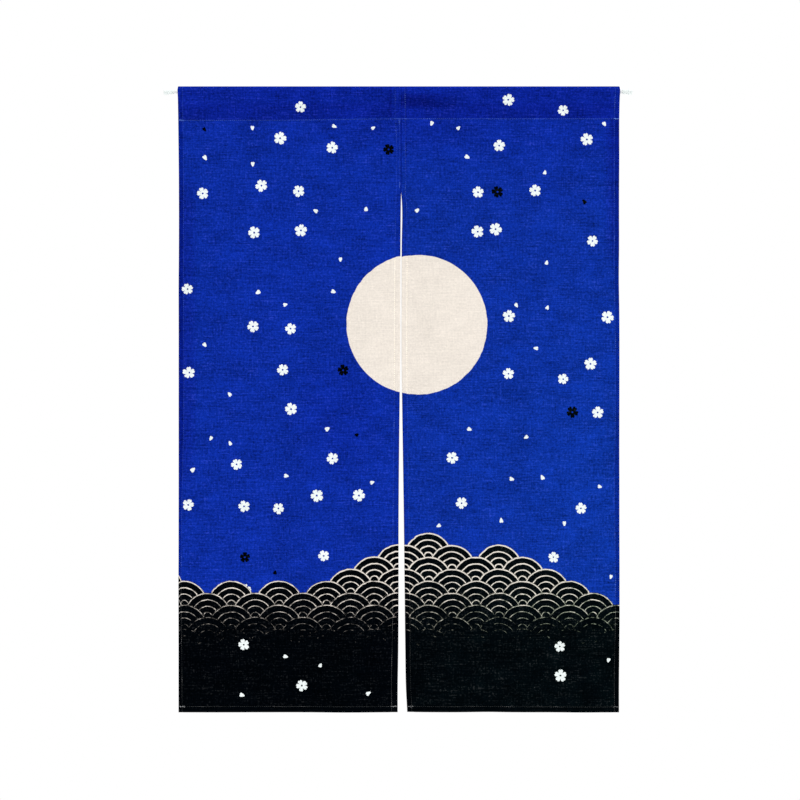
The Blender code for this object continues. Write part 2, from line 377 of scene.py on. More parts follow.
def bottom_edge(x):
    return BOTTOM_Z + BOTTOM_RISE * np.exp(-(((x - RISE_X) / RISE_WIDTH) ** 2))


def grid_rows(x, stack, bottom_stitch):
    """The outer face's path up the cloth, from the bottom hem's raw end to the casing's.

    Returns the rows, each (y, z, normal y, normal z) for all columns, and a dict that names where
    the stretches begin.
    """
    forwards, backwards = (-1.0, 0.0), (1.0, 0.0)
    stitch_z = TOP_Z - casing_depth(x)
    bottom = bottom_edge(x)
    doubled = 2 * stack + LAYER_GAP
    bend = doubled / 2
    marks = {}

    hem_top = bottom_stitch + PAST_STITCH
    behind_y = FACE_Y + doubled
    stitch_share = PAST_STITCH / (hem_top - bend.min())
    strip = [0.0, stitch_share - 0.07, stitch_share, stitch_share + 0.07, 0.5, 0.8]
    rows = straight((behind_y, bottom + hem_top), (behind_y, bottom + bend), backwards, strip)
    marks["bottom_behind"] = 2
    rows += arc(FACE_Y + bend, bottom + bend, bend, 0.0, -math.pi, FOLD_STEPS)[:-1]

    marks["front"] = len(rows)
    near_hem = [0.0, 0.4, 0.75, 0.9, 1.0, 1.1, 1.3]
    rows += straight((FACE_Y, bottom + bend), (FACE_Y, bottom + bottom_stitch), forwards, near_hem)
    marks["bottom_stitch"] = marks["front"] + near_hem.index(1.0)
    start = bottom + bottom_stitch * 1.3 + ROW / 2
    count = round((CLOTH_DROP - CASING_SEAM - bottom_stitch) / ROW)
    shares = [*(step / count for step in range(count)), 1 - NEAR_STITCH / CLOTH_DROP]
    rows += straight((FACE_Y, start), (FACE_Y, stitch_z), forwards, shares)

    marks["casing_stitch"] = len(rows)
    radius = ROD_RADIUS + ROD_CLEARANCE + HEM
    back_y = FACE_Y + stack + LAYER_GAP + doubled
    front = tangent_angle(FACE_Y, stitch_z, radius, -1) + 2 * math.pi
    back = tangent_angle(back_y, stitch_z, radius, 1)
    around = arc(0.0, 0.0, radius, front, back, ROD_STEPS)
    inner = [step / SLOPE_STEPS for step in range(1, SLOPE_STEPS)]
    rows += straight((FACE_Y, stitch_z), around[0][:2], around[0][2:], [0.0, 0.012, *inner])
    marks["rod"] = len(rows)
    rows += around
    marks["back"] = len(rows)
    rows += straight(around[-1][:2], (back_y, stitch_z), around[-1][2:], [*inner, 0.99, 1.0])
    marks["casing_behind"] = len(rows) - 1

    tail_z = stitch_z - CASING_TAIL
    inside_y = back_y - doubled
    rows += straight((back_y, stitch_z), (back_y, tail_z + bend), backwards, [0.2, 0.6])
    rows += arc(back_y - bend, tail_z + bend, bend, 0.0, -math.pi, FOLD_STEPS)
    rows += straight((inside_y, tail_z + bend), (inside_y, tail_z + CASING_TURN), forwards, [0.5, 1.0])
    return rows, marks


def sewing_relief(panel, x, z):
    """How far the cloth sinks at its lines of stitching and puckers beside them, along Y."""
    lines = [(x - in_hem(side, z), z) for side in (panel.low, panel.high)]
    lines += [(z - bottom_edge(x) - panel.bottom_stitch, x), (z - TOP_Z + casing_depth(x), x)]
    total = np.zeros_like(x)
    for number, (away, along) in enumerate(lines):
        gathers = uneven(along, np.zeros_like(along), PUCKERS, panel.seed + number)
        total += GROOVE_DEPTH * np.exp(-((away / GROOVE_REACH) ** 2))
        total += gathers * np.exp(-((away / PUCKER_REACH) ** 2))
    return total


def sway(panel, x, z):
    """Offset along Y of the hanging cloth from its flat plane."""
    free = smoothstep(-CASING_SEAM, -CASING_SEAM - FOLDS_START, z)
    lift = sum(ridge(fold, x, z) for fold in FOLDS)
    parted = smoothstep(-SEAM_END, -SEAM_END - PARTED_LENGTH, z)
    broad = uneven(x, z, BROAD, 1) + parted * uneven(x, z, BROAD_PARTED, panel.seed)
    return free * (curl(panel, x, z) - lift + broad + uneven(x, z, SMALL, 2))


def panel_grid(panel):
    """Positions of the outer face (rows, columns, 3), flat cloth places (rows, columns, 2) and marks."""
    weight, low_offset, high_offset, depth, stack, flat = grid_columns(panel)
    straight_x = (1 - weight) * (panel.low.x + low_offset) + weight * (panel.high.x - high_offset)
    rows, marks = grid_rows(straight_x, stack, panel.bottom_stitch)
    y, z, normal_y, normal_z = (
        np.stack([np.broadcast_to(value, weight.shape) for value in part]) for part in zip(*rows)
    )

    place_z = z - normal_z * depth
    place_y = y - normal_y * depth
    low = in_hem(panel.low, place_z, low_offset / panel.low.stitch)
    high = in_hem(panel.high, place_z, high_offset / panel.high.stitch)
    x = (1 - weight) * low + weight * high

    index = np.arange(len(rows))[:, None]
    hanging = (index < marks["casing_stitch"]).astype(float)
    place_y += hanging * (sway(panel, x, place_z) + sewing_relief(panel, x, place_z))
    place_y += casing_relief(x, place_z, index, marks)

    up = distances(np.stack([y, z], axis=-1)[:, len(weight) // 2])
    sides = [panel.low.x + flat, panel.high.x - flat]
    across = np.select([weight == 0, weight == 1], sides, straight_x)
    flat = np.stack(np.meshgrid(across - SEAM_X, up - up[marks["front"]]), axis=-1)
    return np.stack([x, place_y, place_z], axis=-1), flat, marks


def casing_relief(x, z, index, marks):
    """Dents and small waves of the casing's front and back, nil at the rod and at the stitching."""
    front = (index >= marks["casing_stitch"]) & (index < marks["rod"])
    back = (index >= marks["back"]) & (index <= marks["casing_behind"])
    share = np.clip((z - TOP_Z + casing_depth(x)) / casing_depth(x), 0.0, 1.0)
    middle = np.sin(math.pi * share)
    waves = uneven(x * 0.6, z, CASING_WAVES, 4) + uneven(x, z, CASING_RIPPLES, 5)
    dents = sum(ridge(fold, x, z) for fold in CASING_FOLDS)
    return front * middle * (waves - dents) + back * middle * waves


def cloth_mesh(name, points, faces, flat, *materials):
    """An object whose UV map holds each point's place on the flat cloth."""
    mesh = bpy.data.meshes.new(name)
    mesh.from_pydata(points.tolist(), [], faces)
    corners = np.empty(len(mesh.loops), dtype=np.int32)
    mesh.loops.foreach_get("vertex_index", corners)
    mesh.uv_layers.new(name="cloth").uv.foreach_set("vector", flat[corners].ravel())
    mesh.shade_smooth()
    return add_mesh(name, mesh, *materials)


def build_panel(panel, face, reverse):
    """The panel as one sheet with its hems and casing folded, thickened behind its printed face."""
    places, flat, marks = panel_grid(panel)
    index = np.arange(places[..., 0].size).reshape(places.shape[:2])
    quads = np.stack([index[:-1, :-1], index[:-1, 1:], index[1:, 1:], index[1:, :-1]], axis=-1)
    name = panel.node + "_cloth"
    faces = quads.reshape(-1, 4).tolist()
    made = cloth_mesh(name, places.reshape(-1, 3), faces, flat.reshape(-1, 2), face, reverse)
    layer = made.modifiers.new("Layer", "SOLIDIFY")
    layer.thickness = CLOTH
    layer.offset = -1.0
    layer.material_offset = layer.material_offset_rim = 1
    thickened = made.evaluated_get(bpy.context.evaluated_depsgraph_get())
    made.data = bpy.data.meshes.new_from_object(thickened)
    made.modifiers.clear()
    made.data.shade_smooth()
    made.data.set_sharp_from_angle(angle=math.radians(50))
    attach(made, "root")
    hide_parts(panel.node)
    return (places, unit(np.cross(*np.gradient(places, axis=(1, 0)))), flat), marks


# ---- sewing

THREAD_RADIUS = 0.00025
STITCH_PITCH = 0.0038
STITCH_LENGTH = 0.0027
STITCH_RISE = 0.00032
THREAD_SIDES = 5
THREAD_RINGS = 4
BACKTACK = 0.009  # the length at a line's end that is sewn over again
BACKTACK_SHIFTS = (-0.5, -0.25, 0.2, 0.4, 0.6)  # of the stitches sewn over it, in pitches
CASING_PALE = 0.22  # the casing's stitches stand out a little more than the others
LOOSE = 0.00009  # how far stitches stray sideways,
LOOSE_BACKTACK = 0.00055  # and how much more where they are sewn over
CATCH_PITCH = 0.0045  # of the slanting stitches behind the seam
CATCH_SLANT = 0.0018

# A line over the cloth: its points, the cloth's normals there, and its places on the flat cloth
Line = namedtuple("Line", "points normals flat")


def walk(line, distance):
    """Points, normals and flat places at these distances along a line."""
    length = distances(line.points)
    points, normals, flat = (
        np.stack([np.interp(distance, length, part) for part in values.T], axis=-1) for values in line
    )
    return Line(points, unit(normals), flat)


def threads(starts, ends, normals):
    """Vertices and faces of short threads that arch from each start to its end."""
    ring, corner = np.arange(THREAD_RINGS), np.arange(THREAD_SIDES)
    share, angle = ring[:, None, None] / (THREAD_RINGS - 1), 2 * math.pi * corner[:, None] / THREAD_SIDES
    arch = np.sin(math.pi * share)
    starts, run, up = (part[:, None, None] for part in (starts, ends - starts, normals))
    side = unit(np.cross(run, up))
    centre = starts + run * share + up * (STITCH_RISE * arch - THREAD_RADIUS * 0.5)
    outwards = np.cos(angle) * side + np.sin(angle) * up
    vertices = centre + THREAD_RADIUS * (0.7 + 0.3 * arch) * outwards

    low, following = ring[:-1, None] * THREAD_SIDES, (corner + 1) % THREAD_SIDES
    quads = np.stack([low + corner, low + corner + THREAD_SIDES,
                      low + following + THREAD_SIDES, low + following], axis=-1).reshape(-1, 4)
    caps = np.stack([corner, corner[::-1] + ring[-1] * THREAD_SIDES])
    first = np.arange(len(starts))[:, None, None] * THREAD_RINGS * THREAD_SIDES
    faces = [face for kind in (quads, caps) for face in (kind + first).reshape(-1, kind.shape[1]).tolist()]
    return vertices.reshape(-1, 3), faces


# Stitches: where each starts and ends, the cloth's normal and flat place there, and whether it
# is sewn over another
Stitches = namedtuple("Stitches", "starts ends normals flat over")


def line_stitches(line, random, ends=None, pale=0.0):
    """The stitches along a line. Ends gives how plainly each end is sewn over, from 0 to 1."""
    length = distances(line.points)[-1]
    begin = np.arange(0.0005, length - STITCH_LENGTH, STITCH_PITCH)
    over = np.full_like(begin, pale)
    if ends:
        near = (begin < BACKTACK, begin > length - BACKTACK - STITCH_LENGTH)
        for shift in BACKTACK_SHIFTS:
            for place, strength in zip(near, ends):
                begin = np.concatenate([begin, begin[: len(place)][place] + STITCH_PITCH * shift])
                over = np.concatenate([over, np.full(place.sum(), max(strength, pale))])
        kept = (begin > 0.0003) & (begin + STITCH_LENGTH < length)
        begin, over = begin[kept], over[kept]
    middle = walk(line, begin + STITCH_LENGTH / 2)
    start, end = walk(line, begin).points, walk(line, begin + STITCH_LENGTH).points
    side = unit(np.cross(end - start, middle.normals))
    loose = LOOSE + LOOSE_BACKTACK * (over > pale + 0.01)
    wander = random.normal(0.0, 1.0, (len(begin), 1)) * loose[:, None]
    return Stitches(start + side * wander, end + side * wander, middle.normals, middle.flat, over)


def add_threads(name, rows, material):
    """One mesh of all the stitches in these rows."""
    starts, ends, normals, flat, over = (np.concatenate(part) for part in zip(*rows))
    points, faces = threads(starts, ends, normals)
    each = len(points) // len(starts)
    made = cloth_mesh(name, points, faces, np.repeat(flat, each, axis=0), material)
    sewn_over = made.data.attributes.new("sewn_over", "FLOAT", "POINT")
    sewn_over.data.foreach_set("value", np.repeat(over, each))
    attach(made, "root")
    return made


def cut_line(surface, rows, columns):
    return Line(*(part[rows, columns] for part in surface))


def sew_panel(panel, surface, marks, material):
    """The side, bottom and casing stitches of one panel, on its face and behind."""
    random = np.random.default_rng(panel.seed)
    rows = []
    behind_shown = slice(marks["front"] + 4, marks["casing_stitch"])
    for side in (panel.low, panel.high):
        for shown, behind in ((slice(None), False), (behind_shown, True)):
            line = cut_line(surface, shown, stitched_column(side, behind))
            rows.append(line_stitches(line, random))
    hidden = columns_behind(panel.low) - 2
    front = slice(hidden, -hidden)
    for mark in ("bottom_stitch", "bottom_behind"):
        rows.append(line_stitches(cut_line(surface, marks[mark], front), random, panel.bottom_ends))
    for mark in ("casing_stitch", "casing_behind"):
        line = cut_line(surface, marks[mark], front)
        rows.append(line_stitches(line, random, panel.casing_ends, CASING_PALE))
    return add_threads(panel.node + "_stitches", rows, material)


def sew_seam(left, right, marks, material):
    """The row of stitches beside the seam, and small slanting ones behind that hold its two edges."""
    hanging = np.arange(marks["front"], marks["casing_stitch"])
    hanging = hanging[left[0][hanging, 0, 2] > TOP_Z - SEAM_END]
    random = np.random.default_rng(5)
    beside = cut_line(left, hanging, -columns_behind(PANELS[0].high) - 2)
    rows = [line_stitches(beside, random, (0.15, 0.08))]

    left_line, right_line = cut_line(left, hanging, -5), cut_line(right, hanging, 4)
    begin = np.arange(0.002, distances(left_line.points)[-1] - 0.004, CATCH_PITCH)
    starts, ends = walk(left_line, begin), walk(right_line, begin + CATCH_SLANT)
    backwards = np.tile(np.array([0.0, 1.0, 0.0]), (len(begin), 1))
    rows.append(Stitches(starts.points, ends.points, backwards, starts.flat, np.zeros(len(begin))))
    return add_threads("seam_stitches", rows, material)


# ---- shader nodes


def fill(node, values):
    """Sets a node's inputs, by number or name: each to a number or colour, or to a link from a Value."""
    for key, value in values.items():
        if isinstance(value, Value):
            node.id_data.links.new(value.socket, node.inputs[key])
        else:
            node.inputs[key].default_value = value


def add(tree, kind, values=(), output=0, **settings):
    """One output, by number or name, of a new node."""
    made = tree.nodes.new("ShaderNode" + kind)
    for name, setting in settings.items():
        setattr(made, name, setting)
    fill(made, values if isinstance(values, dict) else dict(enumerate(values)))
    return Value(made.outputs[output])


class Value:
    """A number, vector or colour that a node works out, with the nodes that may follow it.

    Numbers take the usual arithmetic.
    """

    def __init__(self, socket):
        self.socket = socket

    def also(self, output):
        """Another output of the same node."""
        return Value(self.socket.node.outputs[output])

    def to(self, kind, values, output=0, **settings):
        return add(self.socket.id_data, kind, values, output, **settings)

    def calc(self, operation, *others):
        return self.to("Math", (self, *others), operation=operation)

    __add__ = __radd__ = partialmethod(calc, "ADD")
    __sub__ = partialmethod(calc, "SUBTRACT")
    __mul__ = __rmul__ = partialmethod(calc, "MULTIPLY")
    __truediv__ = partialmethod(calc, "DIVIDE")
    __mod__ = partialmethod(calc, "FLOORED_MODULO")
    __gt__ = partialmethod(calc, "GREATER_THAN")
    __lt__ = partialmethod(calc, "LESS_THAN")
    __abs__ = partialmethod(calc, "ABSOLUTE")
    least = partialmethod(calc, "MINIMUM")
    most = partialmethod(calc, "MAXIMUM")

    def __rsub__(self, number):
        return self.to("Math", (number, self), operation="SUBTRACT")

    def split(self, kind):
        """The three parts of an XYZ vector or a Color."""
        first = self.to("Separate" + kind, (self,))
        return [first.also(part) for part in range(3)]

    def ramp(self, low, high, start=0.0, end=1.0, **settings):
        """From start to end as this goes from low to high."""
        return self.to("MapRange", (self, low, high, start, end), **settings)

    def ease(self, low, high):
        """From 0 to 1 as this goes from low to high, starting and ending gently."""
        return self.ramp(low, high, interpolation_type="SMOOTHSTEP")

    def under(self, edge, soft=0.0003):
        """1 where this is under the edge, 0 where it is over, with a soft change."""
        return (self - edge).ramp(-soft, soft, 1.0, 0.0)

    def pick(self, inside, outside):
        """A number: inside where this mask is 1, outside where it is 0."""
        return self.to("Mix", {0: self, 2: outside, 3: inside}, data_type="FLOAT")

    def paint(self, over, under):
        """A colour: over where this mask is 1, under where it is 0."""
        return self.to("Mix", {0: self, 6: under, 7: over}, 2, data_type="RGBA")

    def blend(self, kind, colour):
        """This colour times another, plus another or the like."""
        values = {0: 1.0, 6: self, 7: colour}
        return self.to("Mix", values, 2, data_type="RGBA", blend_type=kind)

    def bump(self, strength, distance):
        return self.to("Bump", {"Strength": strength, "Distance": distance, "Height": self})


def hypot(a, b):
    return (a * a + b * b).calc("SQRT")


def vector(*parts):
    return parts[0].to("CombineXYZ", parts)


def clouds(x, y, detail=2.0, rough=0.5):
    """Smooth noise about zero."""
    values = {"Vector": vector(x, y), "Scale": 1.0, "Detail": detail, "Roughness": rough}
    return x.to("TexNoise", values, noise_dimensions="2D") - 0.5


def new_material(name):
    made = bpy.data.materials.new(name)
    made.use_nodes = True
    return made, made.node_tree.nodes["Principled BSDF"]


def cloth_place(material):
    """Where a point lies on the flat cloth: across from the seam, and up from the bottom edge."""
    return add(material.node_tree, "UVMap", uv_map="cloth").split("XYZ")[:2]


# ---- the print

COBALT = srgb(10.3, 39.7, 143.5)
INK = srgb(1, 3, 6)
CREAM = srgb(221.5, 213, 203)
PETAL = srgb(224, 231, 230)

WAVER = 70.0  # lumps a metre in which the print's edges and the yarns waver
PRINT_WAVER = 0.0022  # how far the print's edges waver
MOON_AT = (0.030, 0.745)  # from the seam, and up from the bottom edge
MOON_RADIUS = 0.134
MOON_SOFT = 0.0004

BLOSSOM_CELL = 0.086  # from one blossom to the next
SCATTER = 0.86  # how far from an even grid they lie, from 0 to 1
BLOSSOM_REACH = (0.0085, 0.0125)  # a petal's length, in the smallest and the largest
LOOSE_PETALS = 0.50  # the share of the spots that are one petal and not a blossom
DARK_SPOTS = 0.07  # the share printed in ink
FLOATING_TOP = 0.15  # how high on the water blossoms still float
FLOATING_SHARE = 0.5
EDGE_MARGIN = 0.014  # how near an edge a blossom's middle may lie
BOTTOM_MARGIN = 0.020
EYE = 0.15  # the hole in a blossom's middle, as a share of a petal's length

WAVE_RADIUS = 0.046
CREST = 0.300  # the mean height of the waves
SWELLS = ((9.5, 0.9, 0.050), (24.0, 2.2, 0.020))  # the crest's pace along the cloth, phase and height
WAVE_LINES = (0.965, 0.70, 0.44, 0.18)  # each scallop's pale lines, as shares of its radius
LINES_FADE = (0.09, 0.29)  # from where they are gone, near the bottom, to where they are full
LINE_WIDTHS = (0.0001, 0.0012)  # half widths, worn and fresh
LINE_WEAR = 95.0  # lumps a metre


def blossoms(across, up):
    """Masks of scattered blossoms and loose petals: (shape, a chance value for each one's colour)."""
    cells = vector(across / BLOSSOM_CELL, up / BLOSSOM_CELL)
    values = {"Vector": cells, "Scale": 1.0, "Randomness": SCATTER}
    spot, room = (
        cells.to("TexVoronoi", values, output, feature=feature, voronoi_dimensions="2D")
        for output, feature in (("Color", "F1"), ("Radius", "N_SPHERE_RADIUS"))
    )
    turn, build, colour = spot.split("Color")
    offset = cells.to("VectorMath", (cells, spot.also("Position")), operation="SUBTRACT")
    x, y = (part * BLOSSOM_CELL for part in offset.split("XYZ")[:2])
    distance = hypot(x, y)
    kept = whole_on_cloth(across - x, up - y)

    whole = build > LOOSE_PETALS
    size = build.ramp(0.0, 1.0, *BLOSSOM_REACH).least(room * (BLOSSOM_CELL * 0.94))
    turned = y.calc("ARCTAN2", x) + turn * (2 * math.pi) + 4 * math.pi
    fifth = 2 * math.pi / 5
    angle = whole.pick(turned.calc("MODULO", fifth) - fifth / 2, turned)
    along, aside = distance * angle.calc("COSINE"), distance * angle.calc("SINE")
    shape = petal(whole.pick(along, along + size * 0.55), aside, size)
    eye = distance.under(size * EYE) * whole
    return shape * (1.0 - eye) * kept, colour


def whole_on_cloth(across, up):
    """1 for a blossom whose middle lies here if it is clear of the moon and of every edge, otherwise 0."""
    return (
        (abs(across) > EDGE_MARGIN)
        * (across > LOW_X - SEAM_X + EDGE_MARGIN)
        * (across < HIGH_X - SEAM_X - EDGE_MARGIN)
        * (up > BOTTOM_MARGIN)
        * (from_moon(across, up) > MOON_RADIUS + EDGE_MARGIN)
    )


def from_moon(across, up):
    return hypot(across - MOON_AT[0], up - MOON_AT[1])


def petal(along, aside, size):
    """Mask of a petal that grows from the origin along one axis, widest near its notched tip."""
    reach = along / size
    inside = reach.ramp(0.02, 0.66).least(reach.ramp(1.02, 0.80))
    half = inside.calc("SQRT") * size * 0.37
    body = abs(aside).under(half, 0.0002) * (inside > 0.0)
    notch = (abs(aside) * 0.9 + (size * 0.86 - along)).under(0.0, 0.0002)
    return body * (1.0 - notch)


def waves(across, up):
    """Masks of rows of overlapping scallops: (the water, the pale lines in it)."""
    rise = WAVE_RADIUS / 2
    lowest = ((up - WAVE_RADIUS) / rise).calc("CEIL")
    water, inner = 0.0, None
    for step in (2.0, 1.0, 0.0):
        row = lowest + step
        centre_up = row * rise
        shift = row % 2.0 * WAVE_RADIUS
        number = ((across - shift) * (0.5 / WAVE_RADIUS)).calc("ROUND")
        centre = number * (2 * WAVE_RADIUS) + shift
        distance = hypot(across - centre, up - centre_up)
        swell = CREST - WAVE_RADIUS
        for pace, phase, height in SWELLS:
            swell = (centre * pace + phase).calc("SINE") * height + swell
        within = distance.under(WAVE_RADIUS) * (centre_up < swell)
        water = within.most(water)
        inner = within.pick(distance, inner) if inner else distance
    worn = clouds(across * LINE_WEAR, up * LINE_WEAR, 3.0, 0.6)
    strength = up.ramp(*LINES_FADE, -0.35, 1.0) + worn * 1.1
    half = strength.ramp(0.10, 1.00, *LINE_WIDTHS)
    lines = 0.0
    for share in WAVE_LINES:
        lines = abs(inner - WAVE_RADIUS * share).under(half).most(lines)
    return water, lines * strength.ramp(0.10, 0.60)


def print_colour(across, up):
    """The print's colour at a place on the flat cloth."""
    wobble = clouds(across * WAVER, up * WAVER) * PRINT_WAVER
    across, up = across + wobble, up - wobble
    water, lines = waves(across, up)
    moon = from_moon(across, up).under(MOON_RADIUS, MOON_SOFT)
    shape, chance = blossoms(across, up)
    ground = shape.paint((chance > 1 - DARK_SPOTS).paint(INK, PETAL), COBALT)
    floating = shape * (chance < FLOATING_SHARE) * (up < FLOATING_TOP)
    sea = floating.paint(PETAL, lines.paint(CREAM, INK))
    return water.paint(sea, moon.paint(CREAM, ground))


# ---- painted shade and sheen on the dark inks

# Painted shade on the dark inks: darker tints where folds, grooves, curled edges, creases, hems and the
# casing fall into shade. Each lies in a part of the cloth and fades in over ranges, from where it starts to
# where it is full: up from the bottom edge, across from the seam, or in from the stitching of the left or
# right hem.
Tint = namedtuple("Tint", "colour part ranges")
# painted shade where the left and right edges curl back
EDGE_PAINTED_SHADE = (0.94, 0.73, 0.87, 1.0)
GROOVE_PAINTED_SHADE = (0.78, 0.66, 0.80, 1.0)  # painted shade where the cloth steps down from a hem
# painted shadow of a crease in the right panel's casing, beside the seam
CORNER_PAINTED_SHADOW = (0.66, 0.56, 0.71, 1.0)
PAINTED_SHADES = (
    # Painted shade on the casing's lower part
    Tint((0.90, 0.84, 0.90, 1.0), "casing", [("up", 1.178, 1.164)]),
    # Painted shade in the grooves beside the right hem's stitching and beside the seam's stitching
    Tint(
        GROOVE_PAINTED_SHADE, "hanging",
        [("right", 0.00168, 0.00312), ("right", 0.00552, 0.00408), ("up", 0.82, 0.90)],
    ),
    Tint(GROOVE_PAINTED_SHADE, "casing", [("across", -0.0222, -0.0198), ("across", -0.0158, -0.0182)]),
    Tint(GROOVE_PAINTED_SHADE, "all", [("across", 0.0089, 0.0101), ("across", 0.0121, 0.0109), ("up", 1.02, 1.06)]),
    # Painted shade where the left and right edges curl back
    Tint(EDGE_PAINTED_SHADE, "all", [("left", 0.032, 0.004), ("up", 0.36, 0.54), ("up", 1.06, 0.97)]),
    Tint(EDGE_PAINTED_SHADE, "hanging", [("right", 0.026, 0.002), ("up", 0.84, 0.92)]),
    # Painted shade of a dip in the left panel
    Tint((0.95, 0.87, 0.97, 1.0), "all", [("from_dip", 1.2, 0.2)]),
    # Painted shadow of a crease in the right panel's casing, beside the seam
    Tint(CORNER_PAINTED_SHADOW, "right_panel", [("up", 1.158, 1.168), ("up", 1.193, 1.184), ("across", 0.15, 0.03)]),
)
# Painted shade: the casing, and the cloth just under it, darker
CASING_PAINTED_SHADE = (0.90, 0.69, 0.92, 1.0)
UNDER_CASING_PAINTED_SHADE = (0.92, 0.80, 0.94, 1.0)
# Painted shade on the hems, in the seam's crease and on the slit's hems
HEM_PAINTED_SHADE = (0.58, 0.62, 0.78, 1.0)
SEAM_PAINTED_SHADE = (0.55, 0.55, 0.74, 1.0)
SLIT_PAINTED_SHADE = (0.94, 0.90, 0.95, 1.0)
RIGHT_PAINTED_LIGHT = (1.00, 1.08, 0.99, 1.0)  # painted light: the right panel a little brighter,
LOWER_RIGHT_PAINTED_LIGHT = (1.00, 1.23, 1.05, 1.0)  # most of all towards its lower right
PAINTED_SHEEN = (0.0002, 0.0006, 0.0007)  # painted sheen on the right panel's dark ink
HEM_SOFT = 0.0006
SEAM_HALF = 0.0013
SLIT_HEM = 0.0098
# Painted shade of a dip in the left panel: where it lies, and its spread
DIP_AT = (-0.12, 0.57)
DIP_SPREAD = (9.0, 7.0)  # the dip's width and height, as parts of a metre


def painted_shade_sheen_and_fibres(across, up, right_panel):
    """For the dark inks: the painted shade of each place, the painted sheen to add, and how strongly
    single pale fibres show."""
    left = across + (SEAM_X - LOW_X) - PANELS[0].low.stitch
    right = (HIGH_X - SEAM_X) - across - PANELS[1].high.stitch
    from_seam = abs(across)
    from_dip = hypot((across - DIP_AT[0]) * DIP_SPREAD[0], (up - DIP_AT[1]) * DIP_SPREAD[1])
    rise = across.ease(LOW_X + SLOPE_START - SEAM_X, SLOPE_END) * (CASING_LEFT - CASING_SEAM)
    casing = (rise + (CLOTH_DROP - CASING_LEFT)).under(up, 0.0008)
    middle = from_seam.ease(0.24, 0.04) * 0.55 + 0.45
    faint = 1.0 - casing * 0.8  # the hems and the seam show less in the casing
    hem = left.least(right).under(0.0, HEM_SOFT) * faint
    slit = from_seam.under(SLIT_HEM, HEM_SOFT) * up.under(CLOTH_DROP - SEAM_END)
    # painted light on the right panel below the casing
    lit_right = right_panel * up.ramp(1.10, 0.95)
    masks = [
        # painted shade on the hems, the seam and the slit
        (hem, HEM_PAINTED_SHADE),
        (from_seam.under(SEAM_HALF, HEM_SOFT) * faint, SEAM_PAINTED_SHADE),
        (slit, SLIT_PAINTED_SHADE),
        (lit_right, RIGHT_PAINTED_LIGHT),
        # painted light, most of all towards the right panel's lower right
        (across.ramp(0.0, 0.36) * up.ramp(1.00, 0.45), LOWER_RIGHT_PAINTED_LIGHT),
    ]
    places = {"up": up, "across": across, "left": left, "right": right, "from_dip": from_dip}
    parts = {"all": 1.0, "casing": casing, "hanging": 1.0 - casing, "right_panel": right_panel}
    for tint in PAINTED_SHADES:
        mask = parts[tint.part]
        for place, start, full in tint.ranges:
            mask = places[place].ease(start, full) * mask
        masks.append((mask, tint.colour))
    # painted shade on the casing and under it
    below = up.ease(1.040, CLOTH_DROP - CASING_LEFT) * middle
    tone_and_painted_shade = casing.paint(CASING_PAINTED_SHADE, below.paint(UNDER_CASING_PAINTED_SHADE, WHITE))
    for mask, colour in masks:
        tone_and_painted_shade = tone_and_painted_shade.blend("MULTIPLY", mask.paint(colour, WHITE))

    hemmed = hem.most(slit).most(up.under(PANELS[1].bottom_stitch, HEM_SOFT))
    patches = clouds(across * 26.0, up * 34.0, 2.0, 0.6)
    fibres = hemmed.ramp(0.0, 1.0, 1.0, 0.25) * patches.ramp(-0.22, 0.22, 0.3, 1.7)
    # painted sheen on the right panel's dark ink
    painted_sheen = lit_right * across.ramp(0.0, 0.40, 1.0, 1.5) * fibres
    return tone_and_painted_shade, vector(*(painted_sheen * part for part in PAINTED_SHEEN)), fibres


# ---- cloth, thread, rod and caps

YARN = 0.0009  # from one yarn to the next
YARN_DRIFT = 1.6  # how far the yarns wander, in yarns
SLUB_LENGTH = 0.030
LONG_SLUB = 0.110
WEFT_SLUBS = 0.90  # how strongly slubs make the weft pale or dark,
WEFT_LONG_SLUBS = 0.42
WARP_SLUBS = 0.65  # and the warp,
GRAIN = 1.05  # and how strongly small areas differ
DYE_MOTTLE = 0.70
MEAN_HEIGHT = 0.54
# how much darker the gaps between yarns are, as painted shade
YARN_GAP_SHADE = 0.35
LINT = 0.023
# lint specks on the right panel's ink, brighter there as painted sheen
LINT_AND_SHEEN_RIGHT = 0.031
LINT_FROM = 0.135
UNPRINTED = srgb(205, 205, 205)
REVERSE_PALE = 0.13  # how much unprinted yarn shows on the reverse
THREAD_TINT = (1.8, 1.8, 1.6, 1.0)
THREAD_DULL = (0.030, 0.032, 0.032, 1.0)
THREAD_PALE = (0.096, 0.098, 0.098, 1.0)
THREAD_BRIGHT = (0.26, 0.26, 0.26, 1.0)
THREAD_ON_BLUE = (0.50, 0.88, 1.20, 1.0)
THREAD_SEWN_OVER = (0.42, 0.43, 0.44, 1.0)


def weave(across, up):
    """Plain weave of uneven yarns: (how pale or dark a small area is about zero, the same for the
    yarn that shows at this very place, height from 0 to 1)."""
    drift = clouds(across * WAVER, up * WAVER) * YARN_DRIFT
    column, row = (place / YARN + drift for place in (across, up))
    warp, weft = column.calc("FLOOR"), row.calc("FLOOR")
    in_weft = clouds(across / SLUB_LENGTH, weft * 0.5) * WEFT_SLUBS
    in_weft += clouds(across / LONG_SLUB, weft * 0.33, 1.0) * WEFT_LONG_SLUBS
    in_warp = clouds(warp * 0.5, up / SLUB_LENGTH) * WARP_SLUBS
    in_both = clouds(warp * 0.207, weft * 0.252, 1.0) * GRAIN

    weft_up = (warp + weft) % 2.0
    over_column, over_row = (abs((place * math.pi).calc("SINE")) for place in (column, row))
    weft_height = over_row * (over_column * 0.45 + 0.55)
    warp_height = over_column * (over_row * 0.45 + 0.55)
    on_top = weft_up.pick(in_weft, in_warp) * 2.0
    height = weft_up.pick(weft_height, warp_height)
    return in_weft + in_warp + in_both, on_top + in_both, height


